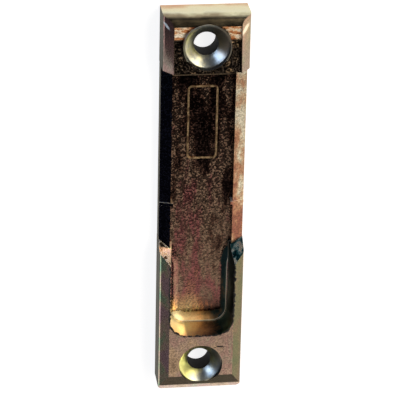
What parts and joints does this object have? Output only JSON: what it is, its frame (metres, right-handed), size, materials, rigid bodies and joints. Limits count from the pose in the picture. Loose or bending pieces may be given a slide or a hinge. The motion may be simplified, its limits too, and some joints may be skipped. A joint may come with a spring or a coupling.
{
  "type": "door strike plate",
  "caption": "Slim die-cast door strike plate with a sloping screw head at one end, a long channel and a drafted bolt pocket at the other.",
  "frame": {"origin": "middle of the flat back face, halfway along the plate's length and width", "axes": "+X across the plate, +Y along it towards the sloping head, +Z out of the front face"},
  "size_m": [0.018, 0.0868, 0.0083],
  "materials": {
    "casting": "glossy chromate over zinc die casting"
  },
  "bodies": {
    "root": {"strike_plate": "casting"}
  },
  "joints": []
}
